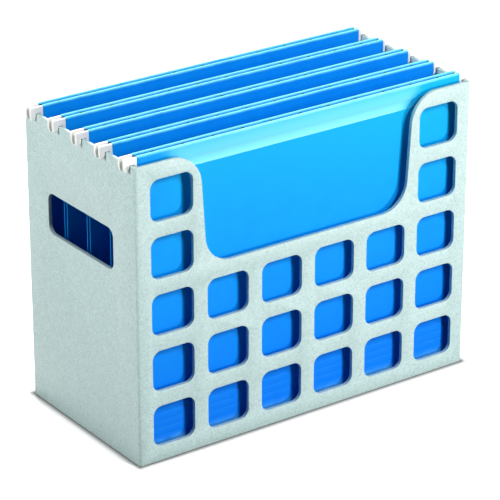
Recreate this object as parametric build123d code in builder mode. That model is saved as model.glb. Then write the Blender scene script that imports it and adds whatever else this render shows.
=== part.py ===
"""Desktop file box with a grid front, and the five hanging folders that hang on its side walls.

Millimetres, +Z up, front wall towards -Y. The origin is the middle of the underside.
"""

import os

from build123d import *

# Letter-size hanging folders, which set the width of the box
folder_count = 5
folder_width = 298.5
folder_height = 240.0
folder_rise = 6.0
folder_side_gap = 3.25
front_gap = 3.4
rear_gap = 6.6
leaf_spacing = 6.0
card = 0.5
fold_gap = 0.3
flap_height = 19.0
flap_slope = 3.0

# Box shell, one thin-walled moulding
box_depth = 152.0
box_height = 241.0
wall = 3.0
floor_thickness = 3.0
corner_radius = 2.0
inside_corner_radius = 1.0
rim_radius = 0.8
base_bevel = 0.6

# Windows of the front wall, as many as fit with a web at each edge
window_width = 37.5
window_height = 33.4
window_corner = 7.5
web = 12.2
side_columns = 1

# Scoop in the upper middle of the front wall
scoop_rows = 2
scoop_shoulder = 26.0
scoop_corner = 24.0
scoop_slant = 6.0

# Hand holes in the side walls
hand_hole_width = 90.0
hand_hole_height = 33.4
hand_hole_corner = 7.0

# Tab slots under the top folds, and a notch at each end of the fold
slot_count = 11
slot_spacing = 26.4
slot_width = 3.0
slot_height = 2.0
slot_drop = 2.5
notch_width = 2.4

# Flat steel rods and their moulded hooks
rod_thickness = 0.8
rod_height = 9.0
rod_clearance = 0.3
rod_inset = 0.4
tang_height = 3.0
tang_end = 2.0
tang_fit = 0.05
hook_thickness = 2.2
hook_end_gap = 0.3
hook_seat_gap = 0.35
hook_side_gap = 0.6
hook_arm_height = 5.0
hook_prong_width = 4.4
hook_prong_drop = 4.8
hook_inner_drop = 4.5
hook_shoulder = 0.8
hook_tip_taper = 1.1
hook_tip_length = 3.4
hook_inner_bevel = 0.5

# Places that follow from the sizes
box_width = folder_width + 2 * (folder_side_gap + wall)
column_pitch = window_width + web
row_pitch = window_height + web
grid_columns = int((box_width - web) / column_pitch)
grid_rows = int((box_height - web) / row_pitch)
grid_height = grid_rows * row_pitch - web
top_row_z = box_height / 2 + (grid_height - window_height) / 2
scoop_z = top_row_z - (scoop_rows - 1) * row_pitch - window_height / 2
scoop_half = (grid_columns / 2 - side_columns) * column_pitch - web / 2 + web / 4
hand_hole_z = top_row_z - row_pitch
folder_top = box_height + folder_rise
folder_bottom = folder_top - folder_height
rod_offset = leaf_spacing / 2
pocket_half = rod_thickness / 2 + rod_clearance + card
fold_radius = pocket_half * 0.9
sheet_inner = rod_offset - pocket_half
sheet_outer = sheet_inner + card
pocket_outer = rod_offset + pocket_half
glued_outer = sheet_outer + card
first_folder_y = -box_depth / 2 + wall + front_gap + pocket_outer
last_folder_y = box_depth / 2 - wall - rear_gap - pocket_outer
folder_pitch = (last_folder_y - first_folder_y) / (folder_count - 1)
rod_top = folder_top - card - rod_clearance
pocket_low = rod_top - rod_height - rod_clearance
rod_half = folder_width / 2 - rod_inset
hook_inner_x = folder_width / 2 + hook_end_gap
notch_inner_x = box_width / 2 - wall - hook_side_gap
notch_outer_x = box_width / 2 + hook_side_gap
hook_outer_x = notch_outer_x + hook_prong_width
arm_bottom = box_height + hook_seat_gap
arm_top = arm_bottom + hook_arm_height
tang_z = (arm_bottom + arm_top) / 2
tang_x = hook_outer_x - tang_end


def window_places():
    """Lists the middle of each window on the front wall, as X and Z."""
    places = []
    for column in range(grid_columns):
        from_side = min(column, grid_columns - 1 - column)
        for row in range(grid_rows):
            if from_side >= side_columns and row < scoop_rows:
                continue
            x = (column - (grid_columns - 1) / 2) * column_pitch
            places.append((x, top_row_z - row * row_pitch))
    return places


def make_box():
    """Makes the open box with its windows, scoop and hand holes."""
    with BuildPart() as box_body:
        with BuildSketch():
            RectangleRounded(box_width, box_depth, corner_radius)
        extrude(amount=box_height)
        with BuildSketch(Plane.XY.offset(floor_thickness)):
            RectangleRounded(box_width - 2 * wall, box_depth - 2 * wall, inside_corner_radius)
        extrude(amount=box_height, mode=Mode.SUBTRACT)

        # Rounded rim, and a small bevel where the box stands
        fillet(box_body.faces().sort_by(Axis.Z)[-1].edges(), rim_radius)
        chamfer(box_body.faces().sort_by(Axis.Z)[0].edges(), base_bevel)

        # Windows through the front wall
        with BuildSketch(Plane.XZ.offset(box_depth / 4)):
            with Locations(*window_places()):
                RectangleRounded(window_width, window_height, window_corner)
        extrude(amount=box_depth, mode=Mode.SUBTRACT)

        # Scoop, with round shoulders that run out into the rim
        with BuildSketch(Plane.XZ.offset(box_depth / 4)) as scoop:
            top_half = scoop_half + scoop_slant / 2
            bottom_half = scoop_half - scoop_slant / 2
            reach = box_width / 2 - corner_radius
            above = box_height + scoop_shoulder
            with BuildLine():
                Polyline(
                    (-reach, above),
                    (-reach, box_height),
                    (-top_half, box_height),
                    (-bottom_half, scoop_z),
                    (bottom_half, scoop_z),
                    (top_half, box_height),
                    (reach, box_height),
                    (reach, above),
                    close=True,
                )
            make_face()
            fillet(scoop.vertices().group_by(Axis.Y)[0], scoop_corner)
            rim_points = scoop.vertices().group_by(Axis.Y)[-2].sort_by(Axis.X)
            fillet(rim_points[1:3], scoop_shoulder)
        extrude(amount=box_depth, mode=Mode.SUBTRACT)

        # Hand holes straight through both side walls
        with BuildSketch(Plane.YZ):
            with Locations((0, hand_hole_z)):
                RectangleRounded(hand_hole_width, hand_hole_height, hand_hole_corner)
        extrude(amount=box_width, both=True, mode=Mode.SUBTRACT)
    return box_body


def make_leaf(middle, side):
    """Makes one leaf of a folder, from its half of the bottom fold to the pocket for its rod."""
    with BuildPart() as leaf:
        with BuildSketch(Plane.YZ) as section:
            # Half of the bottom fold
            with Locations((middle, folder_bottom + sheet_outer)):
                Circle(sheet_outer)
                Circle(sheet_inner, mode=Mode.SUBTRACT)
            with Locations((middle, folder_bottom + sheet_outer)):
                Rectangle(
                    2 * sheet_outer,
                    sheet_outer,
                    align=(Align.CENTER, Align.MIN),
                    mode=Mode.SUBTRACT,
                )
            with Locations((middle - side * (sheet_outer - fold_gap / 2), folder_bottom)):
                Rectangle(
                    2 * sheet_outer,
                    2 * sheet_outer,
                    align=(Align.CENTER, Align.MIN),
                    mode=Mode.SUBTRACT,
                )
            # Flat sheet
            sheet_low = folder_bottom + sheet_outer
            with Locations((middle + side * (sheet_inner + card / 2), sheet_low)):
                Rectangle(card, folder_top - flap_height / 2 - sheet_low, align=(Align.CENTER, Align.MIN))
            # Flap folded over the rod and glued down below it
            with BuildLine():
                Polyline(
                    (middle + side * sheet_inner, folder_top - flap_height),
                    (middle + side * glued_outer, folder_top - flap_height),
                    (middle + side * glued_outer, pocket_low - flap_slope),
                    (middle + side * pocket_outer, pocket_low),
                    (middle + side * pocket_outer, folder_top),
                    (middle + side * sheet_inner, folder_top),
                    close=True,
                )
            make_face()
            # Pocket for the rod
            with BuildLine():
                Polyline(
                    (middle + side * sheet_outer, pocket_low - flap_slope),
                    (middle + side * (pocket_outer - card), pocket_low),
                    (middle + side * (pocket_outer - card), folder_top - card),
                    (middle + side * sheet_outer, folder_top - card),
                    close=True,
                )
            make_face(mode=Mode.SUBTRACT)
            fillet(section.vertices().group_by(Axis.Y)[-1], fold_radius)
        extrude(amount=folder_width / 2, both=True)

        # Tab slots through the inner sheet, and a notch at each end of the fold
        with BuildSketch(Plane.XZ.offset(-middle)):
            with Locations((0, folder_top - slot_drop)):
                with GridLocations(slot_spacing, 1, slot_count, 1):
                    Rectangle(slot_width, slot_height)
                with GridLocations(folder_width, 1, 2, 1):
                    Rectangle(2 * notch_width, slot_height)
        extrude(amount=-side * rod_offset, mode=Mode.SUBTRACT)
    return leaf


def make_rod(middle, side):
    """Makes the flat steel rod of one leaf, with a narrow tang at each end for the hooks."""
    with BuildPart() as rod:
        with BuildSketch(Plane.XZ.offset(-(middle + side * rod_offset))):
            with Locations((0, rod_top - rod_height / 2)):
                Rectangle(2 * rod_half, rod_height)
            with Locations((0, tang_z)):
                Rectangle(2 * tang_x, tang_height)
        extrude(amount=rod_thickness / 2, both=True)
    return rod


def make_hooks(middle, side):
    """Makes the pair of moulded hooks on the ends of one rod."""
    hook_plane = Plane.XZ.offset(-(middle + side * rod_offset))
    prong_low = box_height - hook_prong_drop
    inner_low = box_height - hook_inner_drop
    with BuildPart() as hooks:
        with BuildSketch(hook_plane):
            with BuildLine():
                Polyline(
                    (hook_inner_x, arm_top),
                    (hook_outer_x - hook_shoulder, arm_top),
                    (hook_outer_x, arm_top - hook_shoulder),
                    (hook_outer_x, prong_low + hook_tip_length),
                    (hook_outer_x - hook_tip_taper, prong_low),
                    (notch_outer_x + hook_tip_taper, prong_low),
                    (notch_outer_x, prong_low + hook_tip_length),
                    (notch_outer_x, arm_bottom),
                    (notch_inner_x, arm_bottom),
                    (notch_inner_x, inner_low + hook_inner_bevel),
                    (notch_inner_x - hook_inner_bevel, inner_low),
                    (hook_inner_x, inner_low),
                    close=True,
                )
            make_face()
        extrude(amount=hook_thickness / 2, both=True)
        # Socket for the tang of the rod
        with BuildSketch(hook_plane):
            with Locations(((hook_inner_x + tang_x + tang_fit) / 2, tang_z)):
                Rectangle(tang_x + tang_fit - hook_inner_x, tang_height + 2 * tang_fit)
        extrude(amount=rod_thickness / 2 + tang_fit, both=True, mode=Mode.SUBTRACT)
        mirror(about=Plane.YZ)
    return hooks


def keep(name, piece):
    """Labels one finished piece and writes it under its own name."""
    piece.part.label = name
    export_step(piece.part, f"parts/{name}.step")


os.makedirs("parts", exist_ok=True)
keep("box_body", make_box())
for number in range(1, folder_count + 1):
    folder_y = first_folder_y + (number - 1) * folder_pitch
    for half, side in (("front", -1), ("back", 1)):
        keep(f"folder_{number}_{half}_leaf", make_leaf(folder_y, side))
        keep(f"folder_{number}_{half}_rod", make_rod(folder_y, side))
        keep(f"folder_{number}_{half}_hooks", make_hooks(folder_y, side))
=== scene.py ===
"""Looks of the desktop file box and its five hanging folders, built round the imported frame."""

import logging
import math
from dataclasses import dataclass, replace
from enum import Enum

import bmesh
import bpy
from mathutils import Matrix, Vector, noise


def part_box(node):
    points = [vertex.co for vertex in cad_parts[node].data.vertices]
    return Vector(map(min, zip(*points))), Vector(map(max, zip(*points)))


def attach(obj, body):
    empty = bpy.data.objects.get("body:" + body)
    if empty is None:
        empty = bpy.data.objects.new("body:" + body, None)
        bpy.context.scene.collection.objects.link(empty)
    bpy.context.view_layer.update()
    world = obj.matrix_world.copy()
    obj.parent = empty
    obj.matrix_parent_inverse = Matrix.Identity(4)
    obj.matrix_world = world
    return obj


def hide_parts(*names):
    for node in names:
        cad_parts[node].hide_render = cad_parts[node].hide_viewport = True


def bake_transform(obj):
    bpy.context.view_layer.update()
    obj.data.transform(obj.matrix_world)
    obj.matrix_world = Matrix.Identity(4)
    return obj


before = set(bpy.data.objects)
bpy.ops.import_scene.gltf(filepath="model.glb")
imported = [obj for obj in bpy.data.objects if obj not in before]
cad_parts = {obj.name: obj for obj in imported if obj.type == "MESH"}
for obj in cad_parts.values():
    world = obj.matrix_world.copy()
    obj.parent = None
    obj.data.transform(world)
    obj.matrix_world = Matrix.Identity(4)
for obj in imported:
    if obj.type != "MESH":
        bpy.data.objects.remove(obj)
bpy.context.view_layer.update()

LOG = logging.getLogger("file_box")
MM = 0.001


def linear(hex_colour: str) -> tuple[float, float, float, float]:
    """Turns an sRGB hex colour into the linear colour that a shader socket takes.

    Args:
        hex_colour: Six hex digits after a hash sign.

    Returns:
        Red, green, blue and an alpha of 1.
    """
    channels = [int(hex_colour[i : i + 2], 16) / 255 for i in (1, 3, 5)]
    red, green, blue = [c / 12.92 if c <= 0.04045 else ((c + 0.055) / 1.055) ** 2.4 for c in channels]
    return red, green, blue, 1.0


def add_node(
    tree: bpy.types.NodeTree, kind: str, settings: dict | None = None, links: dict | None = None
) -> bpy.types.Node:
    """Adds one node to a tree, with its settings and links.

    Args:
        tree: The tree that gets the node.
        kind: The node's Blender type.
        settings: Values by property name, or by the name or index of an input.
        links: Output sockets, or nodes for their first output, by the name or index of the input they feed.

    Returns:
        The new node.
    """
    node = tree.nodes.new(kind)
    for name, value in (settings or {}).items():
        if isinstance(name, str) and hasattr(node, name):
            setattr(node, name, value)
        else:
            node.inputs[name].default_value = value
    for name, source in (links or {}).items():
        socket = source.outputs[0] if isinstance(source, bpy.types.Node) else source
        tree.links.new(socket, node.inputs[name])
    return node


def new_material(name: str) -> tuple[bpy.types.Material, bpy.types.NodeTree, bpy.types.NodeSocket]:
    """Makes a node material that has only its place coordinates so far.

    Args:
        name: The material's name.

    Returns:
        The material, its tree and the socket of a point's place on its object.
    """
    material = bpy.data.materials.new(name)
    material.use_nodes = True
    tree = material.node_tree
    tree.nodes.clear()
    return material, tree, add_node(tree, "ShaderNodeTexCoord").outputs["Object"]


@dataclass(frozen=True)
class SpeckledPolystyrene:
    """Moulded high-impact polystyrene: matt, faintly pebbled, with soft darker and lighter flecks.

    Real flecks and pebbles are a few tenths of a millimetre wide. Both are drawn coarser, so that they show.
    """

    name: str = "speckled_polystyrene"
    ground: str = "#B1CAC8"
    dark_fleck: str = "#A3BCBA"
    light_fleck: str = "#BBD3D1"
    dark_to: float = 0.10
    ground_from: float = 0.30
    ground_to: float = 0.78
    light_from: float = 0.92
    fleck_mm: float = 1.0
    cloud_mm: float = 7.0
    cloud_low: float = 0.3
    cloud_high: float = 0.7
    darkest: float = 0.975
    lightest: float = 1.02
    pebble_mm: float = 0.7
    pebble_depth_mm: float = 0.05
    pebble_strength: float = 0.35
    roughness: float = 0.46
    roughness_swing: float = 0.05
    ior: float = 1.59

    def material(self) -> bpy.types.Material:
        """Builds the finish.

        Returns:
            Its material.
        """
        material, tree, place = new_material(self.name)
        wobble = add_node(
            tree, "ShaderNodeTexNoise", {"Scale": 1 / (self.fleck_mm * MM), "Detail": 1.0}, {"Vector": place}
        )
        bent = add_node(
            tree,
            "ShaderNodeVectorMath",
            {"operation": "MULTIPLY_ADD", 1: (self.fleck_mm * MM,) * 3},
            {0: wobble.outputs["Color"], 2: place},
        )
        cells = add_node(tree, "ShaderNodeTexVoronoi", {"Scale": 1 / (self.fleck_mm * MM)}, {"Vector": bent})
        pick = add_node(tree, "ShaderNodeSeparateColor", None, {0: cells.outputs["Color"]})
        flecks = add_node(tree, "ShaderNodeValToRGB", None, {0: pick})
        stops = (
            (self.dark_to, self.dark_fleck),
            (self.ground_from, self.ground),
            (self.ground_to, self.ground),
            (self.light_from, self.light_fleck),
        )
        ramp = flecks.color_ramp.elements
        for index, (position, colour) in enumerate(stops):
            stop = ramp[index] if index < len(ramp) else ramp.new(position)
            stop.position = position
            stop.color = linear(colour)
        cloud = add_node(
            tree, "ShaderNodeTexNoise", {"Scale": 1 / (self.cloud_mm * MM), "Detail": 3.0}, {"Vector": place}
        )
        tint = add_node(
            tree,
            "ShaderNodeMapRange",
            {
                "From Min": self.cloud_low,
                "From Max": self.cloud_high,
                "To Min": self.darkest,
                "To Max": self.lightest,
            },
            {0: cloud},
        )
        colour = add_node(
            tree,
            "ShaderNodeMix",
            {"data_type": "RGBA", "blend_type": "MULTIPLY", 0: 1.0},
            {6: flecks, 7: tint},
        )
        pebble = add_node(
            tree, "ShaderNodeTexNoise", {"Scale": 1 / (self.pebble_mm * MM), "Detail": 2.0}, {"Vector": place}
        )
        bump = add_node(
            tree,
            "ShaderNodeBump",
            {"Strength": self.pebble_strength, "Distance": self.pebble_depth_mm * MM},
            {"Height": pebble},
        )
        rough = add_node(
            tree,
            "ShaderNodeMapRange",
            {
                "To Min": self.roughness - self.roughness_swing,
                "To Max": self.roughness + self.roughness_swing,
            },
            {0: pebble},
        )
        shader = add_node(
            tree,
            "ShaderNodeBsdfPrincipled",
            {"IOR": self.ior},
            {"Base Color": colour.outputs[2], "Roughness": rough, "Normal": bump},
        )
        add_node(tree, "ShaderNodeOutputMaterial", None, {"Surface": shader})
        return material


@dataclass(frozen=True)
class FolderCard:
    """Calendered blue card: fine fibres under a smooth face, paler where folds and edges are scuffed.

    The top fold's crest is made paler still by a painted highlight. A painted shade deepens the card
    towards the bottom fold, and painted light makes a face paler high up. On the flap a painted sheen
    lightens the colour, under a clear coat turned so that it mirrors the key lamp towards the camera. Real
    fibres are about a tenth of a millimetre wide. They are drawn coarser, so that they show.
    """

    name: str = "folder_card"
    blue: str = "#0398F5"
    deep: str = "#0392F1"
    # Painted shade: the deeper colour the card takes towards the bottom fold
    low: str = "#0179EC"
    # Painted light: the paler colour high on a folder's face
    lit: str = "#04A9E3"
    # Scuffing, and a painted highlight on the top fold's crest: the pale colour of folds and edges
    rubbed_and_highlight: str = "#92FFF4"
    # Painted sheen: the paler colour of the flap, under the coat's reflection of the key lamp
    painted_sheen_colour: str = "#3ACFEE"
    fibre_mm: float = 0.9
    fibre_stretch: float = 0.35
    fibre_share: float = 0.5
    fibre_depth_mm: float = 0.03
    fibre_strength: float = 0.25
    mottle_mm: float = 14.0
    deep_at: float = 0.55
    blue_at: float = 0.95
    wear_grain: float = 0.6
    roughness: float = 0.55
    reflection: float = 0.12
    ior: float = 1.5
    sheen_roughness: float = 0.5
    sheen_ior: float = 1.7
    sheen_facing: tuple[float, float, float] = (-0.085, -0.952, 0.295)

    def material(self) -> bpy.types.Material:
        """Builds the finish.

        Returns:
            Its material.
        """
        material, tree, place = new_material(self.name)
        stretched = add_node(
            tree, "ShaderNodeMapping", {"Scale": (self.fibre_stretch, 1.0, 1.0)}, {"Vector": place}
        )
        fibres = add_node(
            tree,
            "ShaderNodeTexNoise",
            {"Scale": 1 / (self.fibre_mm * MM), "Detail": 4.0, "Roughness": 0.6},
            {"Vector": stretched},
        )
        mottle = add_node(
            tree, "ShaderNodeTexNoise", {"Scale": 1 / (self.mottle_mm * MM), "Detail": 3.0}, {"Vector": place}
        )
        blend = add_node(
            tree, "ShaderNodeMath", {"operation": "MULTIPLY_ADD", 1: self.fibre_share}, {0: fibres, 2: mottle}
        )
        shade = add_node(
            tree, "ShaderNodeMapRange", {"From Min": self.deep_at, "From Max": self.blue_at}, {0: blend}
        )
        card = add_node(
            tree,
            "ShaderNodeMix",
            {"data_type": "RGBA", 6: linear(self.deep), 7: linear(self.blue)},
            {0: shade},
        )
        # Painted shade towards the bottom fold, then painted light high up on a face
        for tone, hue in (("low", self.low), ("lit", self.lit)):
            share = add_node(tree, "ShaderNodeAttribute", {"attribute_name": tone})
            card = add_node(
                tree,
                "ShaderNodeMix",
                {"data_type": "RGBA", 7: linear(hue)},
                {0: share.outputs["Fac"], 6: card.outputs[2]},
            )
        # Painted sheen on the flap: a paler colour, and a coat turned to mirror the key lamp
        band = add_node(tree, "ShaderNodeAttribute", {"attribute_name": "band"})
        painted_sheen_colour = add_node(
            tree,
            "ShaderNodeMix",
            {"data_type": "RGBA", 7: linear(self.painted_sheen_colour)},
            {0: band.outputs["Fac"], 6: card.outputs[2]},
        )
        facing = add_node(tree, "ShaderNodeCombineXYZ", dict(enumerate(self.sheen_facing)))
        # Scuffing, and a painted highlight on the top fold's crest, make the card paler
        wear_and_highlight = add_node(tree, "ShaderNodeAttribute", {"attribute_name": "fold_wear_and_highlight"})
        rub_and_highlight = add_node(
            tree,
            "ShaderNodeMath",
            {"operation": "MULTIPLY_ADD", "use_clamp": True, 1: self.wear_grain},
            {0: shade, 2: wear_and_highlight.outputs["Fac"]},
        )
        rubbed_and_highlight = add_node(
            tree,
            "ShaderNodeMath",
            {"operation": "MULTIPLY", "use_clamp": True},
            {0: rub_and_highlight, 1: wear_and_highlight.outputs["Fac"]},
        )
        worn_and_highlit = add_node(
            tree,
            "ShaderNodeMix",
            {"data_type": "RGBA", 7: linear(self.rubbed_and_highlight)},
            {0: rubbed_and_highlight, 6: painted_sheen_colour.outputs[2]},
        )
        bump = add_node(
            tree,
            "ShaderNodeBump",
            {"Strength": self.fibre_strength, "Distance": self.fibre_depth_mm * MM},
            {"Height": fibres},
        )
        shader = add_node(
            tree,
            "ShaderNodeBsdfPrincipled",
            {
                "IOR": self.ior,
                "Roughness": self.roughness,
                "Specular IOR Level": self.reflection,
                "Coat Roughness": self.sheen_roughness,
                "Coat IOR": self.sheen_ior,
            },
            {
                "Base Color": worn_and_highlit.outputs[2],
                "Normal": bump,
                "Coat Weight": band.outputs["Fac"],
                "Coat Normal": facing,
            },
        )
        add_node(tree, "ShaderNodeOutputMaterial", None, {"Surface": shader})
        return material


@dataclass(frozen=True)
class MouldedNylon:
    """White moulded nylon: satin, a little cloudy, with faint flow marks along the moulding."""

    name: str = "moulded_nylon"
    white: str = "#FBFBF8"
    cloudy: str = "#EFEFEB"
    flow_mm: float = 2.2
    flow_bend: float = 0.6
    flow_depth_mm: float = 0.05
    flow_strength: float = 0.15
    roughness: float = 0.38
    ior: float = 1.53

    def material(self) -> bpy.types.Material:
        """Builds the finish.

        Returns:
            Its material.
        """
        material, tree, place = new_material(self.name)
        flow = add_node(
            tree,
            "ShaderNodeTexNoise",
            {"Scale": 1 / (self.flow_mm * MM), "Detail": 2.0, "Distortion": self.flow_bend},
            {"Vector": place},
        )
        colour = add_node(
            tree,
            "ShaderNodeMix",
            {"data_type": "RGBA", 6: linear(self.cloudy), 7: linear(self.white)},
            {0: flow},
        )
        bump = add_node(
            tree,
            "ShaderNodeBump",
            {"Strength": self.flow_strength, "Distance": self.flow_depth_mm * MM},
            {"Height": flow},
        )
        shader = add_node(
            tree,
            "ShaderNodeBsdfPrincipled",
            {"IOR": self.ior, "Roughness": self.roughness},
            {"Base Color": colour.outputs[2], "Normal": bump},
        )
        add_node(tree, "ShaderNodeOutputMaterial", None, {"Surface": shader})
        return material


@dataclass(frozen=True)
class RolledSteel:
    """Cold-rolled steel strip: dull steel with fine roll marks along its length.

    Its colour is a painted shade, far darker than bare steel, so that the tab slots over it show dark. Real
    roll marks are finer than they are drawn here, where they have to show.
    """

    name: str = "rolled_steel"
    # Painted shade: a colour much darker than steel, so that the tab slots show dark
    painted_shade_steel: str = "#303236"
    roll_mark_mm: float = 0.25
    roll_stretch: float = 0.02
    smoothest: float = 0.28
    roughest: float = 0.48

    def material(self) -> bpy.types.Material:
        """Builds the finish.

        Returns:
            Its material.
        """
        material, tree, place = new_material(self.name)
        along = add_node(
            tree, "ShaderNodeMapping", {"Scale": (self.roll_stretch, 1.0, 1.0)}, {"Vector": place}
        )
        marks = add_node(
            tree,
            "ShaderNodeTexNoise",
            {"Scale": 1 / (self.roll_mark_mm * MM), "Detail": 2.0},
            {"Vector": along},
        )
        rough = add_node(
            tree, "ShaderNodeMapRange", {"To Min": self.smoothest, "To Max": self.roughest}, {0: marks}
        )
        shader = add_node(
            tree,
            "ShaderNodeBsdfPrincipled",
            {"Metallic": 1.0, "Base Color": linear(self.painted_shade_steel)},
            {"Roughness": rough},
        )
        add_node(tree, "ShaderNodeOutputMaterial", None, {"Surface": shader})
        return material


class Half(Enum):
    """The two halves of a hanging folder, with the side of its fold that each lies on."""

    FRONT = -1
    BACK = 1


def new_object(name: str, mesh: bpy.types.Mesh) -> bpy.types.Object:
    """Puts a mesh in the scene at the origin.

    Args:
        name: The object's name.
        mesh: Its mesh, already in place.

    Returns:
        The object.
    """
    thing = bpy.data.objects.new(name, mesh)
    bpy.context.scene.collection.objects.link(thing)
    return thing


def made_from(work: bmesh.types.BMesh, name: str) -> bpy.types.Object:
    """Turns a finished work mesh into an object, and lets the work mesh go.

    Args:
        work: The work mesh.
        name: The name of the object and its mesh.

    Returns:
        The object.
    """
    mesh = bpy.data.meshes.new(name)
    work.to_mesh(mesh)
    work.free()
    return new_object(name, mesh)


def within(value: float) -> float:
    """Keeps a share from 0 to 1. Args: the share. Returns the share, cut off at both ends."""
    return min(1.0, max(0.0, value))


def freeze(thing: bpy.types.Object) -> None:
    """Turns an object's modifiers into plain mesh, so that nothing live is left on it.

    Args:
        thing: The object.
    """
    bpy.context.view_layer.update()
    depsgraph = bpy.context.evaluated_depsgraph_get()
    mesh = bpy.data.meshes.new_from_object(thing.evaluated_get(depsgraph), depsgraph=depsgraph)
    thing.modifiers.clear()
    thing.data = mesh
    mesh.name = thing.name


def smooth(thing: bpy.types.Object, sharp_degrees: float) -> None:
    """Shades a mesh smooth, apart from edges sharper than an angle.

    Args:
        thing: The object.
        sharp_degrees: The angle past which an edge stays sharp.
    """
    thing.data.polygons.foreach_set("use_smooth", [True] * len(thing.data.polygons))
    thing.data.set_sharp_from_angle(angle=math.radians(sharp_degrees))


def soften(thing: bpy.types.Object, radius: float, segments: int, from_degrees: float) -> None:
    """Rounds the sharp edges of a mesh and keeps its flats flat.

    Args:
        thing: The object.
        radius: The width of the rounding, in metres.
        segments: How many strips the rounding has.
        from_degrees: The angle past which an edge is rounded.
    """
    bevel = thing.modifiers.new("soften", "BEVEL")
    bevel.width = radius
    bevel.segments = segments
    bevel.limit_method = "ANGLE"
    bevel.angle_limit = math.radians(from_degrees)
    bevel.use_clamp_overlap = True
    weigh = thing.modifiers.new("weigh", "WEIGHTED_NORMAL")
    weigh.keep_sharp = True
    freeze(thing)


def rounded_corners(points: list[Vector], radii: list[float], steps: int) -> list[Vector]:
    """Rounds the corners of a closed outline in a plane.

    Args:
        points: The outline's corners in order.
        radii: The radius at each corner, 0 where it stays sharp.
        steps: How many straight steps each round corner has.

    Returns:
        The rounded outline's points.
    """
    outline: list[Vector] = []
    for index, corner in enumerate(points):
        radius = radii[index]
        if radius == 0:
            outline.append(corner.copy())
            continue
        back = (points[index - 1] - corner).normalized()
        ahead = (points[(index + 1) % len(points)] - corner).normalized()
        half_turn = back.angle(ahead) / 2
        middle = corner + (back + ahead).normalized() * (radius / math.sin(half_turn))
        start = corner + back * (radius / math.tan(half_turn)) - middle
        end = corner + ahead * (radius / math.tan(half_turn)) - middle
        sweep = start.angle(end)
        for step in range(steps + 1):
            share = step / steps
            arm = start * math.sin((1 - share) * sweep) + end * math.sin(share * sweep)
            outline.append(middle + arm / math.sin(sweep))
    return outline


def prism(name: str, outline: list[Vector], along: Vector) -> bpy.types.Object:
    """Makes a closed solid from a flat outline.

    Args:
        name: The object's name.
        outline: The outline's points in space.
        along: How far, and which way, the outline is drawn out.

    Returns:
        The solid.
    """
    work = bmesh.new()
    near = [work.verts.new(point) for point in outline]
    far = [work.verts.new(point + along) for point in outline]
    count = len(outline)
    work.faces.new(near)
    work.faces.new(reversed(far))
    for i in range(count):
        j = (i + 1) % count
        work.faces.new((near[j], near[i], far[i], far[j]))
    bmesh.ops.recalc_face_normals(work, faces=work.faces)
    return made_from(work, name)


class Socket(Enum):
    """Kinds of named input that the window tree has."""

    COUNT = "NodeSocketInt"
    SIZE = "NodeSocketFloat"
    PLACE = "NodeSocketVector"
    FINISH = "NodeSocketMaterial"


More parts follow.
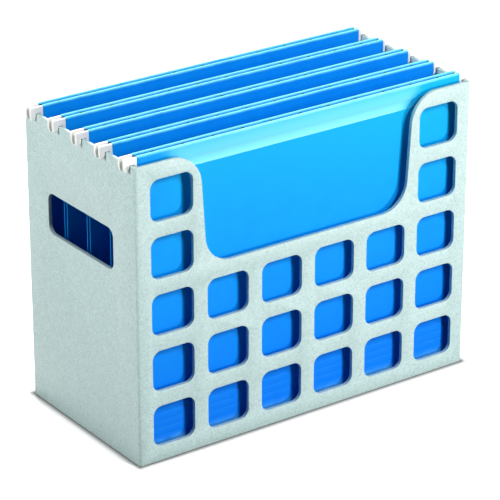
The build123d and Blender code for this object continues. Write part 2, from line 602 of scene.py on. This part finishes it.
@dataclass
class WindowCutter:
    """Cuts a grid of round-cornered windows through a wall with Geometry Nodes."""

    columns: int
    rows: int
    width: float
    height: float
    corner: float
    column_pitch: float
    row_pitch: float
    middle: tuple[float, float, float]
    turn: float
    depth: float
    clear_half: float = 0.0
    clear_above: float = 10.0
    corner_steps: int = 12
    weld: float = 0.001 * MM

    def inputs(self) -> dict[str, tuple[Socket, object]]:
        """Lists the tree's named inputs.

        Returns:
            Each one's kind and value by name.
        """
        return {
            "Columns": (Socket.COUNT, self.columns),
            "Rows": (Socket.COUNT, self.rows),
            "Window width": (Socket.SIZE, self.width),
            "Window height": (Socket.SIZE, self.height),
            "Corner radius": (Socket.SIZE, self.corner),
            "Corner steps": (Socket.COUNT, self.corner_steps),
            "Column pitch": (Socket.SIZE, self.column_pitch),
            "Row pitch": (Socket.SIZE, self.row_pitch),
            "Middle": (Socket.PLACE, self.middle),
            "Turn": (Socket.SIZE, self.turn),
            "Cut depth": (Socket.SIZE, self.depth),
            "Clear half width": (Socket.SIZE, self.clear_half),
            "Clear above": (Socket.SIZE, self.clear_above),
        }

    def tree(self) -> bpy.types.NodeTree:
        """Builds the node tree once and reuses it.

        Returns:
            The tree.
        """
        known = bpy.data.node_groups.get("cut_window_grid")
        if known:
            return known
        tree = bpy.data.node_groups.new("cut_window_grid", "GeometryNodeTree")
        face = tree.interface
        face.new_socket("Geometry", in_out="INPUT", socket_type="NodeSocketGeometry")
        for name, (kind, _) in self.inputs().items():
            face.new_socket(name, in_out="INPUT", socket_type=kind.value)
        face.new_socket("Finish", in_out="INPUT", socket_type=Socket.FINISH.value)
        face.new_socket("Geometry", in_out="OUTPUT", socket_type="NodeSocketGeometry")
        given = add_node(tree, "NodeGroupInput").outputs

        # Each point's column and row, from its index, and its place from those
        count = add_node(
            tree, "ShaderNodeMath", {"operation": "MULTIPLY"}, {0: given["Columns"], 1: given["Rows"]}
        )
        index = add_node(tree, "GeometryNodeInputIndex")
        turns = add_node(tree, "ShaderNodeMath", {"operation": "DIVIDE"}, {0: index, 1: given["Columns"]})
        row = add_node(tree, "ShaderNodeMath", {"operation": "FLOOR"}, {0: turns})
        column = add_node(tree, "ShaderNodeMath", {"operation": "MODULO"}, {0: index, 1: given["Columns"]})
        places = []
        for step, many, pitch in ((column, "Columns", "Column pitch"), (row, "Rows", "Row pitch")):
            first = add_node(
                tree, "ShaderNodeMath", {"operation": "MULTIPLY_ADD", 1: -0.5, 2: 0.5}, {0: given[many]}
            )
            steps = add_node(tree, "ShaderNodeMath", {"operation": "ADD"}, {0: step, 1: first})
            place = add_node(tree, "ShaderNodeMath", {"operation": "MULTIPLY"}, {0: steps, 1: given[pitch]})
            places.append(place.outputs[0])
        x, z = places
        spot = add_node(tree, "ShaderNodeCombineXYZ", None, {0: x, 2: z})
        points = add_node(tree, "GeometryNodePoints", None, {"Count": count, "Position": spot})

        # No window where the scoop is
        aside = add_node(tree, "ShaderNodeMath", {"operation": "ABSOLUTE"}, {0: x})
        inner = add_node(
            tree, "ShaderNodeMath", {"operation": "LESS_THAN"}, {0: aside, 1: given["Clear half width"]}
        )
        high = add_node(
            tree, "ShaderNodeMath", {"operation": "GREATER_THAN"}, {0: z, 1: given["Clear above"]}
        )
        cleared = add_node(tree, "ShaderNodeMath", {"operation": "MULTIPLY"}, {0: inner, 1: high})
        kept = add_node(
            tree,
            "GeometryNodeDeleteGeometry",
            {"domain": "POINT"},
            {"Geometry": points, "Selection": cleared},
        )

        # One block with round corners, stood upright at its own middle
        frame_curve = add_node(
            tree,
            "GeometryNodeCurvePrimitiveQuadrilateral",
            None,
            {"Width": given["Window width"], "Height": given["Window height"]},
        )
        filleted = add_node(
            tree,
            "GeometryNodeFilletCurve",
            {"mode": "POLY"},
            {
                "Curve": frame_curve,
                "Count": given["Corner steps"],
                "Radius": given["Corner radius"],
            },
        )
        pane = add_node(tree, "GeometryNodeFillCurve", {"mode": "NGONS"}, {0: filleted})
        drawn = add_node(
            tree,
            "GeometryNodeExtrudeMesh",
            {"mode": "FACES", "Individual": False},
            {"Mesh": pane, "Offset Scale": given["Cut depth"]},
        )
        turned_back = add_node(tree, "GeometryNodeFlipFaces", None, {0: pane})
        both = add_node(tree, "GeometryNodeJoinGeometry")
        tree.links.new(drawn.outputs[0], both.inputs[0])
        tree.links.new(turned_back.outputs[0], both.inputs[0])
        block = add_node(tree, "GeometryNodeMergeByDistance", {"Distance": self.weld}, {0: both})
        half_back = add_node(
            tree, "ShaderNodeMath", {"operation": "MULTIPLY", 1: -0.5}, {0: given["Cut depth"]}
        )
        shift = add_node(tree, "ShaderNodeCombineXYZ", None, {2: half_back})
        centred = add_node(tree, "GeometryNodeTransform", None, {"Geometry": block, "Translation": shift})
        upright = add_node(
            tree, "GeometryNodeTransform", {"Rotation": (math.pi / 2, 0.0, 0.0)}, {"Geometry": centred}
        )

        # A block at each point, set in the wall and cut from it
        grid = add_node(tree, "GeometryNodeInstanceOnPoints", None, {"Points": kept, "Instance": upright})
        solid = add_node(tree, "GeometryNodeRealizeInstances", None, {0: grid})
        turned = add_node(tree, "ShaderNodeCombineXYZ", None, {2: given["Turn"]})
        placed = add_node(
            tree,
            "GeometryNodeTransform",
            None,
            {"Geometry": solid, "Translation": given["Middle"], "Rotation": turned},
        )
        cut = add_node(tree, "GeometryNodeMeshBoolean", {"operation": "DIFFERENCE"})
        tree.links.new(given["Geometry"], cut.inputs[0])
        tree.links.new(placed.outputs[0], cut.inputs[1])
        real = add_node(tree, "GeometryNodeRealizeInstances", None, {0: cut})
        dressed = add_node(
            tree, "GeometryNodeSetMaterial", None, {"Geometry": real, "Material": given["Finish"]}
        )
        add_node(tree, "NodeGroupOutput", None, {0: dressed})
        return tree

    def apply_to(self, thing: bpy.types.Object, finish: bpy.types.Material) -> None:
        """Puts the windows in an object as a modifier.

        Args:
            thing: The object to cut.
            finish: The material of the whole piece.
        """
        modifier = thing.modifiers.new("windows", "NODES")
        modifier.node_group = self.tree()
        known = modifier.node_group.interface.items_tree
        names = {item.name: item.identifier for item in known if item.in_out == "INPUT"}
        for name, (_, value) in self.inputs().items():
            modifier[names[name]] = value
        modifier[names["Finish"]] = finish


@dataclass
class BoxShell:
    """The moulded box: a thin-walled open shell with windows, a scoop and two hand holes."""

    wall: float = 3.0 * MM
    floor: float = 3.0 * MM
    corner: float = 2.0 * MM
    inside_corner: float = 1.0 * MM
    rim: float = 0.8 * MM
    base: float = 0.6 * MM
    window_width: float = 37.5 * MM
    window_height: float = 33.4 * MM
    window_corner: float = 7.5 * MM
    web: float = 12.2 * MM
    columns: int = 6
    rows: int = 5
    scoop_rows: int = 2
    scoop_shoulder: float = 26.0 * MM
    scoop_corner: float = 24.0 * MM
    scoop_slant: float = 6.0 * MM
    hand_width: float = 90.0 * MM
    hand_height: float = 33.4 * MM
    hand_corner: float = 7.0 * MM
    corner_steps: int = 5
    round_steps: int = 4
    scoop_steps: int = 24
    edge_round: float = 0.4 * MM
    edge_steps: int = 3
    edge_from: float = 42.0
    sharp_from: float = 40.0

    def __post_init__(self) -> None:
        """Reads the box's outer sizes from the frame."""
        low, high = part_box("box_body")
        self.width = high.x - low.x
        self.depth = high.y - low.y
        self.height = high.z - low.z
        self.column_pitch = self.window_width + self.web
        self.row_pitch = self.window_height + self.web
        self.top_row = self.height / 2 + (self.rows - 1) / 2 * self.row_pitch

    def ring(
        self, work: bmesh.types.BMesh, inset: float, radius: float, z: float
    ) -> list[bmesh.types.BMVert]:
        """Adds one round-cornered ring of points.

        Args:
            work: The mesh that gets the points.
            inset: How far the ring lies inside the outer faces.
            radius: Its corner radius.
            z: Its height.

        Returns:
            The ring's points.
        """
        x = self.width / 2 - inset
        y = self.depth / 2 - inset
        corners = [Vector((-x, -y, z)), Vector((x, -y, z)), Vector((x, y, z)), Vector((-x, y, z))]
        return [work.verts.new(p) for p in rounded_corners(corners, [radius] * 4, self.corner_steps)]

    def blank(self) -> bpy.types.Object:
        """Makes the open box before anything is cut from it.

        Returns:
            The box.
        """
        turns = [math.pi / 2 * step / self.round_steps for step in range(self.round_steps + 1)]
        quarter = [(math.sin(turn), math.cos(turn)) for turn in turns]
        levels = [(self.base * (1 - s), self.corner, self.base * (1 - c)) for s, c in quarter]
        levels += [(self.rim * (1 - c), self.corner, self.height - self.rim * (1 - s)) for s, c in quarter]
        levels += [
            (self.wall - self.rim * (1 - s), self.inside_corner, self.height - self.rim * (1 - c))
            for s, c in quarter
        ]
        levels.append((self.wall, self.inside_corner, self.floor))
        work = bmesh.new()
        rings = [self.ring(work, *level) for level in levels]
        for lower, upper in zip(rings, rings[1:]):
            count = len(lower)
            for i in range(count):
                j = (i + 1) % count
                work.faces.new((lower[i], lower[j], upper[j], upper[i]))
        work.faces.new(reversed(rings[0]))
        work.faces.new(rings[-1])
        bmesh.ops.recalc_face_normals(work, faces=work.faces)
        return made_from(work, "box_shell")

    def scoop_cutter(self) -> bpy.types.Object:
        """Makes the block that cuts the scoop, with its round shoulders and corners.

        Returns:
            The block.
        """
        sill = self.top_row - (self.scoop_rows - 1) * self.row_pitch - self.window_height / 2
        half = (self.columns / 2 - 1) * self.column_pitch - self.web / 4
        top, bottom = half + self.scoop_slant / 2, half - self.scoop_slant / 2
        reach = self.width / 2 - self.corner
        front = -self.depth / 2 - self.wall
        above = self.height + self.scoop_shoulder
        corners = [
            Vector((-reach, front, above)),
            Vector((-reach, front, self.height)),
            Vector((-top, front, self.height)),
            Vector((-bottom, front, sill)),
            Vector((bottom, front, sill)),
            Vector((top, front, self.height)),
            Vector((reach, front, self.height)),
            Vector((reach, front, above)),
        ]
        radii = [0, 0, self.scoop_shoulder, self.scoop_corner, self.scoop_corner, self.scoop_shoulder, 0, 0]
        outline = rounded_corners(corners, radii, self.scoop_steps)
        return prism("scoop_cutter", outline, Vector((0, 3 * self.wall, 0)))

    def build(self, finish: bpy.types.Material) -> bpy.types.Object:
        """Makes the finished shell.

        Args:
            finish: Its material.

        Returns:
            The shell, which stands for the frame's box.
        """
        shell = self.blank()
        cutter = self.scoop_cutter()
        scoop = shell.modifiers.new("scoop", "BOOLEAN")
        scoop.operation = "DIFFERENCE"
        scoop.object = cutter
        front = WindowCutter(
            columns=self.columns,
            rows=self.rows,
            width=self.window_width,
            height=self.window_height,
            corner=self.window_corner,
            column_pitch=self.column_pitch,
            row_pitch=self.row_pitch,
            middle=(0.0, -(self.depth - self.wall) / 2, self.height / 2),
            turn=0.0,
            depth=3 * self.wall,
            clear_half=(self.columns / 2 - 1) * self.column_pitch,
            clear_above=(self.rows / 2 - self.scoop_rows) * self.row_pitch,
        )
        front.apply_to(shell, finish)
        hands = WindowCutter(
            columns=1,
            rows=1,
            width=self.hand_width,
            height=self.hand_height,
            corner=self.hand_corner,
            column_pitch=0.0,
            row_pitch=0.0,
            middle=(0.0, 0.0, self.top_row - self.row_pitch),
            turn=math.pi / 2,
            depth=2 * self.width,
        )
        hands.apply_to(shell, finish)
        freeze(shell)
        bpy.data.objects.remove(cutter)
        soften(shell, self.edge_round, self.edge_steps, self.edge_from)
        smooth(shell, self.sharp_from)
        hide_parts("box_body")
        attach(shell, "box")
        return shell


@dataclass(frozen=True)
class Row:
    """One row of points of a folded sheet, which runs along the folder.

    Its distance from the folder's middle comes first, then its height, how much scuffing and painted
    highlight the card gets there, how far up the flap it lies, with -1 off the flap, and whether the tab
    slots start there.
    """

    out: float
    z: float
    wear_and_highlight: float = 0.0
    rise: float = -1.0
    slots: bool = False


@dataclass
class HangingFolder:
    """One hanging folder: a folded card sheet with pockets for two rods, and four moulded hooks.

    Real score lines are finer than the ones here, which are drawn wide enough to show.
    """

    number: int
    card: float = 0.5 * MM
    leaf_spacing: float = 6.0 * MM
    rod_thickness: float = 0.8 * MM
    rod_clearance: float = 0.3 * MM
    rod_height: float = 9.0 * MM
    flap: float = 19.0 * MM
    slots: int = 11
    slot_spacing: float = 26.4 * MM
    slot_width: float = 3.0 * MM
    slot_height: float = 2.0 * MM
    slot_drop: float = 2.5 * MM
    notch: float = 2.4 * MM
    slope: float = 1.14 * MM
    slope_end: float = 2.47 * MM
    flap_shares: tuple[float, ...] = (0.95, 0.75, 0.5, 0.42, 0.35)
    between_slots: int = 4
    turn_steps: int = 5
    flat_rows: int = 24
    fold_steps: int = 8
    crest_drop: float = 0.01 * MM
    bow: float = 0.35 * MM
    bow_across: float = 6.0
    bow_up: float = 9.0
    bow_side: float = 3.0
    bow_folder: float = 7.0
    score: float = 0.06 * MM
    score_width: float = 0.9 * MM
    score_spacing: float = 6.35 * MM
    scores: int = 4
    # Scuffing and painted highlight on the top fold, strongest at the crest
    fold_wear_and_highlight: float = 0.45
    turn_wear: float = 0.4
    edge_wear: float = 0.2
    score_wear: float = 0.1
    # Strength of the painted sheen on the flap and of the painted light on the front; the sheen fades upwards
    band: float = 0.0
    band_loss: float = 0.6
    # Where along the flap the painted sheen starts and ends, and how its ends slant and fade
    painted_sheen_from: float = -112.0 * MM
    painted_sheen_to: float = 98.0 * MM
    painted_sheen_slant: float = 16.0 * MM
    painted_sheen_fade: float = 8.0 * MM
    # Heights over which the painted shade fades out upwards
    painted_shade_from: float = 20.0 * MM
    painted_shade_to: float = 150.0 * MM
    # Heights over which the painted light comes in, and its fade in from the left end
    lit_from: float = 130.0 * MM
    lit_to: float = 230.0 * MM
    lit_fade: float = 50.0 * MM
    sheet_sharp: float = 35.0
    hook_merge: float = 0.002 * MM
    hook_flat: float = 1.0
    hook_round: float = 0.25 * MM
    hook_steps: int = 2
    hook_edge: float = 50.0
    hook_sharp: float = 40.0

    def __post_init__(self) -> None:
        """Reads the folder's place and outer sizes from the frame."""
        front_low, front_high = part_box(self.node(Half.FRONT, "leaf"))
        back_low, back_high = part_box(self.node(Half.BACK, "leaf"))
        self.middle = (front_low.y + back_high.y) / 2
        self.half_width = (front_high.x - front_low.x) / 2
        self.bottom = min(front_low.z, back_low.z)
        self.top = max(front_high.z, back_high.z)
        self.pocket_half = self.rod_thickness / 2 + self.rod_clearance + self.card / 2
        self.sheet_at = self.leaf_spacing / 2 - self.pocket_half
        self.flap_at = self.leaf_spacing / 2 + self.pocket_half

    def node(self, half: Half, piece: str) -> str:
        """Names a CAD node of this folder. Args: the half and the piece. Returns the name."""
        return f"{self.body(half)}_{piece}"

    def body(self, half: Half) -> str:
        """Names a CAD body of this folder. Args: the half. Returns the name."""
        return f"folder_{self.number}_{half.name.lower()}"

    def leaf_rows(self) -> list[Row]:
        """Lists one leaf's rows from the bottom fold to the flap's lower edge.

        Returns:
            The rows.
        """
        # Bottom fold
        rows: list[Row] = []
        low = self.bottom + self.card / 2
        for step in range(1, self.turn_steps + 1):
            turn = math.pi / 2 * step / self.turn_steps
            rise = self.sheet_at * (1 - math.cos(turn))
            rows.append(Row(self.sheet_at * math.sin(turn), low + rise, self.turn_wear))

        # Score lines, then the flat sheet with its tab slots
        for count in range(1, self.scores + 1):
            z = low + self.sheet_at + count * self.score_spacing
            rows.append(Row(self.sheet_at, z - self.score_width / 2))
            rows.append(Row(self.sheet_at - self.score, z, self.score_wear))
            rows.append(Row(self.sheet_at, z + self.score_width / 2))
        first = rows[-1].z + self.score_spacing
        slot_low = self.top - self.slot_drop - self.slot_height / 2
        last = slot_low - self.flap
        for step in range(self.flat_rows + 1):
            rows.append(Row(self.sheet_at, first + (last - first) * step / self.flat_rows))
        rows.append(Row(self.sheet_at, slot_low, slots=True))
        rows.append(Row(self.sheet_at, slot_low + self.slot_height))

        # Top fold, most scuffed at its crest, where a painted highlight also makes it palest
        radius = (self.flap_at - self.sheet_at) / 2
        crown = self.top - self.card / 2 - radius - self.crest_drop
        for step in range(self.fold_steps + 1):
            turn = math.pi * step / self.fold_steps
            worn_and_highlit = self.fold_wear_and_highlight + (1 - self.fold_wear_and_highlight) * math.sin(turn) ** 2
            out = self.sheet_at + radius * (1 - math.cos(turn))
            rows.append(Row(out, crown + radius * math.sin(turn), worn_and_highlit, 1.0 if turn > math.pi / 2 else -1.0))

        # Flap, down over the rod and in to where it is glued
        pocket_low = self.top - self.card - self.rod_height - 3 * self.rod_clearance
        glued = self.sheet_at + self.card
        places = (
            (self.flap_at, crown - radius),
            (self.flap_at, pocket_low + self.rod_height / 2),
            (self.flap_at, pocket_low),
            ((self.flap_at + glued) / 2, pocket_low - self.slope),
            (glued, pocket_low - self.slope_end),
        )
        rows += [Row(out, z, rise=share) for (out, z), share in zip(places, self.flap_shares)]
        rows.append(Row(glued, self.top - self.flap, self.edge_wear, rise=0.0))
        return rows

    def columns(self) -> list[tuple[float, bool]]:
        """Lists the columns of points across the sheet.

        Returns:
            Each one's X, and whether a slot starts there.
        """
        places = {
            -self.half_width: True,
            self.notch - self.half_width: False,
            self.half_width - self.notch: True,
            self.half_width: False,
        }
        for count in range(self.slots):
            x = (count - (self.slots - 1) / 2) * self.slot_spacing
            places[x - self.slot_width / 2] = True
            places[x + self.slot_width / 2] = False
            for step in range(1, self.between_slots):
                along = (self.slot_spacing - self.slot_width) * step / self.between_slots
                places[x + self.slot_width / 2 + along] = False
        inside = {x: start for x, start in places.items() if abs(x) <= self.half_width}
        return sorted(inside.items())

    def painted_sheen_at(self, x: float, rise: float) -> float:
        """Says how strong the painted sheen is at a point of the flap.

        Args:
            x: The point's place along the flap.
            rise: How far up the flap it is, from 0 to 1.

        Returns:
            The painted sheen's strength, from 0 to the folder's band strength.
        """
        left = (x - self.painted_sheen_from + rise * self.painted_sheen_slant) / self.painted_sheen_fade
        right = (self.painted_sheen_to + rise * self.painted_sheen_slant - x) / self.painted_sheen_fade
        return self.band * (1 - self.band_loss * rise) * within(left) * within(right)

    def painted_tones(self, x: float, z: float) -> tuple[float, float]:
        """Says how much painted shade and painted light the card gets.

        Args:
            x: The point's place along the folder.
            z: The point's height.

        Returns:
            The painted shade and the painted light, both from 0 to 1.
        """
        rise = z - self.bottom
        low = (self.painted_shade_to - rise) / (self.painted_shade_to - self.painted_shade_from)
        lit = (rise - self.lit_from) / (self.lit_to - self.lit_from)
        inward = (x + self.half_width) / self.lit_fade
        return within(low), self.band * within(lit) * within(inward)

    def swing(self, x: float, out: float, z: float) -> float:
        """Says how far the bowed sheet is out of flat at a point.

        Args:
            x: The point's place along the folder.
            out: Its distance from the folder's middle, which tells one leaf from the other.
            z: Its height.

        Returns:
            The distance.
        """
        sway = math.sin(math.pi * within((z - self.bottom) / (self.top - self.bottom))) ** 2
        leaf = math.copysign(self.bow_side, out) + self.bow_folder * self.number
        return self.bow * sway * noise.noise(Vector((x * self.bow_across, leaf, z * self.bow_up)))

    def sheet(self, finish: bpy.types.Material) -> bpy.types.Object:
        """Folds the sheet: over the front rod, down, round the bottom, and up and over the back rod.

        Args:
            finish: The card.

        Returns:
            The sheet, with its bottom fold between the folder's two halves.
        """
        leaf = self.leaf_rows()
        path = [replace(row, out=-row.out) for row in reversed(leaf)]
        path.append(Row(0.0, self.bottom + self.card / 2, self.turn_wear))
        path += leaf
        across = self.columns()
        work = bmesh.new()
        layers = {name: work.verts.layers.float.new(name) for name in ("fold_wear_and_highlight", "band", "low", "lit")}
        grid = []
        for row in path:
            line = []
            for x, _ in across:
                bow = self.swing(x, row.out, row.z)
                point = work.verts.new((x, self.middle + row.out + bow, row.z))
                # Painted shade and painted light by height, painted sheen on the flap, and scuffing with a
                # painted highlight
                low, lit = self.painted_tones(x, row.z)
                front = row.out < 0
                point[layers["fold_wear_and_highlight"]] = row.wear_and_highlight
                point[layers["band"]] = self.painted_sheen_at(x, row.rise) if front and row.rise >= 0 else 0.0
                point[layers["low"]] = low
                point[layers["lit"]] = lit if front else 0.0
                line.append(point)
            grid.append(line)
        for i, (lower, upper) in enumerate(zip(grid, grid[1:])):
            slotted = path[i].slots and path[i].out > 0 or path[i + 1].slots and path[i + 1].out < 0
            for j in range(len(across) - 1):
                if slotted and across[j][1]:
                    continue
                work.faces.new((lower[j], lower[j + 1], upper[j + 1], upper[j]))
        bmesh.ops.recalc_face_normals(work, faces=work.faces)
        sheet = made_from(work, f"folder_{self.number}_sheet")
        sheet.data.materials.append(finish)
        thick = sheet.modifiers.new("card", "SOLIDIFY")
        thick.thickness = self.card
        thick.offset = 0.0
        thick.use_even_offset = True
        freeze(sheet)
        smooth(sheet, self.sheet_sharp)
        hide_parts(self.node(Half.FRONT, "leaf"), self.node(Half.BACK, "leaf"))
        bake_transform(sheet)
        return sheet

    def hooks(self, half: Half, finish: bpy.types.Material) -> bpy.types.Object:
        """Makes one rod's pair of hooks with softly rounded moulded edges.

        Args:
            half: Which half of the folder the rod is in.
            finish: The moulded plastic.

        Returns:
            The pair, which stands for the frame's hooks.
        """
        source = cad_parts[self.node(half, "hooks")]
        work = bmesh.new()
        work.from_mesh(source.data)
        bmesh.ops.remove_doubles(work, verts=work.verts, dist=self.hook_merge)
        bmesh.ops.dissolve_limit(
            work, angle_limit=math.radians(self.hook_flat), verts=work.verts, edges=work.edges
        )
        pair = made_from(work, self.node(half, "hook_pair"))
        pair.data.materials.append(finish)
        soften(pair, self.hook_round, self.hook_steps, self.hook_edge)
        smooth(pair, self.hook_sharp)
        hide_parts(self.node(half, "hooks"))
        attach(pair, self.body(half))
        return pair

    def dress(self, card: bpy.types.Material, nylon: bpy.types.Material, steel: bpy.types.Material) -> None:
        """Makes the folder's pieces and finishes its rods.

        Args:
            card: The sheet's material.
            nylon: The hooks' material.
            steel: The rods' material.
        """
        LOG.info("%s folded", self.sheet(card).name)
        for half in Half:
            LOG.info("%s moulded", self.hooks(half, nylon).name)
            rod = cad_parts[self.node(half, "rod")]
            rod.data.materials.clear()
            rod.data.materials.append(steel)
            LOG.info("%s finished", rod.name)


@dataclass(frozen=True)
class Lamp:
    """A square soft lamp that faces the object. Angles are in degrees, lengths in metres, power in watts."""

    name: str
    azimuth: float
    elevation: float
    distance: float
    size: float
    power: float


@dataclass
class Studio:
    """A white sweep with soft lamps in front, above, at the left and behind, and a camera on a long lens."""

    lamps: tuple[Lamp, ...] = (
        Lamp("key", azimuth=25.0, elevation=6.0, distance=1.15, size=0.15, power=7.3),
        Lamp("top", azimuth=20.0, elevation=39.0, distance=1.5, size=0.35, power=16.4),
        Lamp("fill", azimuth=-93.5, elevation=25.0, distance=1.5, size=0.27, power=16.3),
        Lamp("back", azimuth=160.0, elevation=38.0, distance=1.6, size=0.5, power=20.0),
    )
    lamp_aim: tuple[float, float, float] = (0.0, 0.0, 0.12)
    floor_size: float = 12.0
    white: str = "#FFFFFF"
    paper: str = "#F4F4F4"
    # Painted contact shadow: the floor's colour close round the box's foot
    painted_contact_shadow: str = "#4E4A4B"
    bounce: str = "#585858"
    shadow_reach: float = 16.0 * MM
    contact: float = 7.0 * MM
    contact_inset: float = 2.1 * MM
    camera_azimuth: float = -35.6
    camera_elevation: float = 23.8
    camera_distance: float = 2.0
    camera_target: tuple[float, float, float] = (-0.0547, -0.076, 0.152)
    lens: float = 193.2
    sensor: float = 36.0
    clip_end: float = 50.0
    world_strength: float = 0.03

    def direction(self, azimuth: float, elevation: float) -> Vector:
        """Gives the way to a camera or lamp. Args: its angles in degrees. Returns a unit vector."""
        a, e = math.radians(azimuth), math.radians(elevation)
        return Vector((math.sin(a) * math.cos(e), -math.cos(a) * math.cos(e), math.sin(e)))

    def seen_white(self, tree: bpy.types.NodeTree) -> bpy.types.NodeSocket:
        """Adds the test for rays that should meet a white background.

        Args:
            tree: The tree that gets the nodes.

        Returns:
            A socket that is 1 for camera, glossy and transmission rays.
        """
        path = add_node(tree, "ShaderNodeLightPath").outputs
        seen = path["Is Camera Ray"]
        for ray in ("Is Glossy Ray", "Is Transmission Ray"):
            either = add_node(tree, "ShaderNodeMath", {"operation": "MAXIMUM"}, {0: seen, 1: path[ray]})
            seen = either.outputs[0]
        return seen

    def world(self) -> None:
        """Lights the room evenly and shows it white."""
        world = bpy.data.worlds.new("studio")
        world.use_nodes = True
        tree = world.node_tree
        tree.nodes.clear()
        room = add_node(
            tree, "ShaderNodeBackground", {"Color": linear(self.white), "Strength": self.world_strength}
        )
        white = add_node(tree, "ShaderNodeBackground", {"Color": linear(self.white), "Strength": 1.0})
        mixed = add_node(tree, "ShaderNodeMixShader", None, {0: self.seen_white(tree), 1: room, 2: white})
        add_node(tree, "ShaderNodeOutputWorld", None, {"Surface": mixed})
        bpy.context.scene.world = world

    def floor(self) -> None:
        """Lays a white floor that keeps the lamps' shadows near the box, with a painted contact shadow at its
        foot.
        """
        size = self.floor_size / 2
        mesh = bpy.data.meshes.new("floor")
        corners = [(-size, -size, 0), (size, -size, 0), (size, size, 0), (-size, size, 0)]
        mesh.from_pydata(corners, [], [(0, 1, 2, 3)])
        floor = new_object("floor", mesh)
        material, tree, place = new_material("white_paper_sweep")
        mirrored = add_node(tree, "ShaderNodeVectorMath", {"operation": "ABSOLUTE"}, {0: place})
        _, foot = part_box("box_body")
        beyond = add_node(
            tree, "ShaderNodeVectorMath", {"operation": "SUBTRACT", 1: (foot.x, foot.y, 0.0)}, {0: mirrored}
        )
        outside = add_node(
            tree, "ShaderNodeVectorMath", {"operation": "MAXIMUM", 1: (0.0, 0.0, 0.0)}, {0: beyond}
        )
        away = add_node(tree, "ShaderNodeVectorMath", {"operation": "LENGTH"}, {0: outside})
        far = add_node(
            tree,
            "ShaderNodeMapRange",
            {"From Min": 0.0, "From Max": self.shadow_reach},
            {0: away.outputs["Value"]},
        )
        # Painted contact shadow, darkest at the box's foot and gone a few millimetres out
        painted_shadow_mask = add_node(
            tree,
            "ShaderNodeMapRange",
            {
                "interpolation_type": "SMOOTHSTEP",
                "From Min": -self.contact_inset,
                "From Max": self.contact,
            },
            {0: away.outputs["Value"]},
        )
        painted_contact_shadow = add_node(
            tree,
            "ShaderNodeMix",
            {"data_type": "RGBA", 6: linear(self.painted_contact_shadow), 7: linear(self.paper)},
            {0: painted_shadow_mask},
        )
        paper = add_node(tree, "ShaderNodeBsdfDiffuse", None, {"Color": painted_contact_shadow.outputs[2]})
        lift = add_node(tree, "ShaderNodeEmission", {"Color": linear(self.white)}, {"Strength": far})
        lifted = add_node(tree, "ShaderNodeAddShader", None, {0: paper, 1: lift})
        bounce = add_node(tree, "ShaderNodeBsdfDiffuse", {"Color": linear(self.bounce)})
        mixed = add_node(tree, "ShaderNodeMixShader", None, {0: self.seen_white(tree), 1: bounce, 2: lifted})
        add_node(tree, "ShaderNodeOutputMaterial", None, {"Surface": mixed})
        mesh.materials.append(material)

    def hang(self, lamp: Lamp) -> None:
        """Hangs one lamp.

        Args:
            lamp: The lamp.
        """
        data = bpy.data.lights.new(lamp.name, "AREA")
        data.energy = lamp.power
        data.size = lamp.size
        light = bpy.data.objects.new(lamp.name, data)
        back = self.direction(lamp.azimuth, lamp.elevation)
        light.location = Vector(self.lamp_aim) + back * lamp.distance
        light.rotation_mode = "QUATERNION"
        light.rotation_quaternion = back.to_track_quat("Z", "Y")
        bpy.context.scene.collection.objects.link(light)

    def camera(self) -> None:
        """Sets up the camera at the photograph's angle."""
        data = bpy.data.cameras.new("camera")
        data.lens = self.lens
        data.sensor_width = self.sensor
        data.clip_end = self.clip_end
        camera = bpy.data.objects.new("camera", data)
        back = self.direction(self.camera_azimuth, self.camera_elevation)
        camera.location = Vector(self.camera_target) + back * self.camera_distance
        camera.rotation_mode = "QUATERNION"
        camera.rotation_quaternion = (-back).to_track_quat("-Z", "Y")
        bpy.context.scene.collection.objects.link(camera)
        bpy.context.scene.camera = camera

    def build(self) -> None:
        """Sets up the whole studio."""
        self.world()
        self.floor()
        for lamp in self.lamps:
            self.hang(lamp)
        self.camera()
        bpy.context.scene.view_settings.view_transform = "Standard"


def main() -> None:
    """Builds the finishes, the box, the folders and the studio, in that order."""
    logging.basicConfig(level=logging.INFO, format="%(name)s: %(message)s")
    plastic = SpeckledPolystyrene().material()
    card = FolderCard().material()
    nylon = MouldedNylon().material()
    steel = RolledSteel().material()
    LOG.info("%s moulded", BoxShell().build(plastic).name)
    folder_count = sum(name.endswith("_front_leaf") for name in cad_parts)
    for number in range(1, folder_count + 1):
        # Only the first folder gets the painted sheen on its flap and the painted light on its front
        HangingFolder(number, band=1.0 if number == 1 else 0.0).dress(card, nylon, steel)
    Studio().build()


if __name__ == "__main__":
    main()
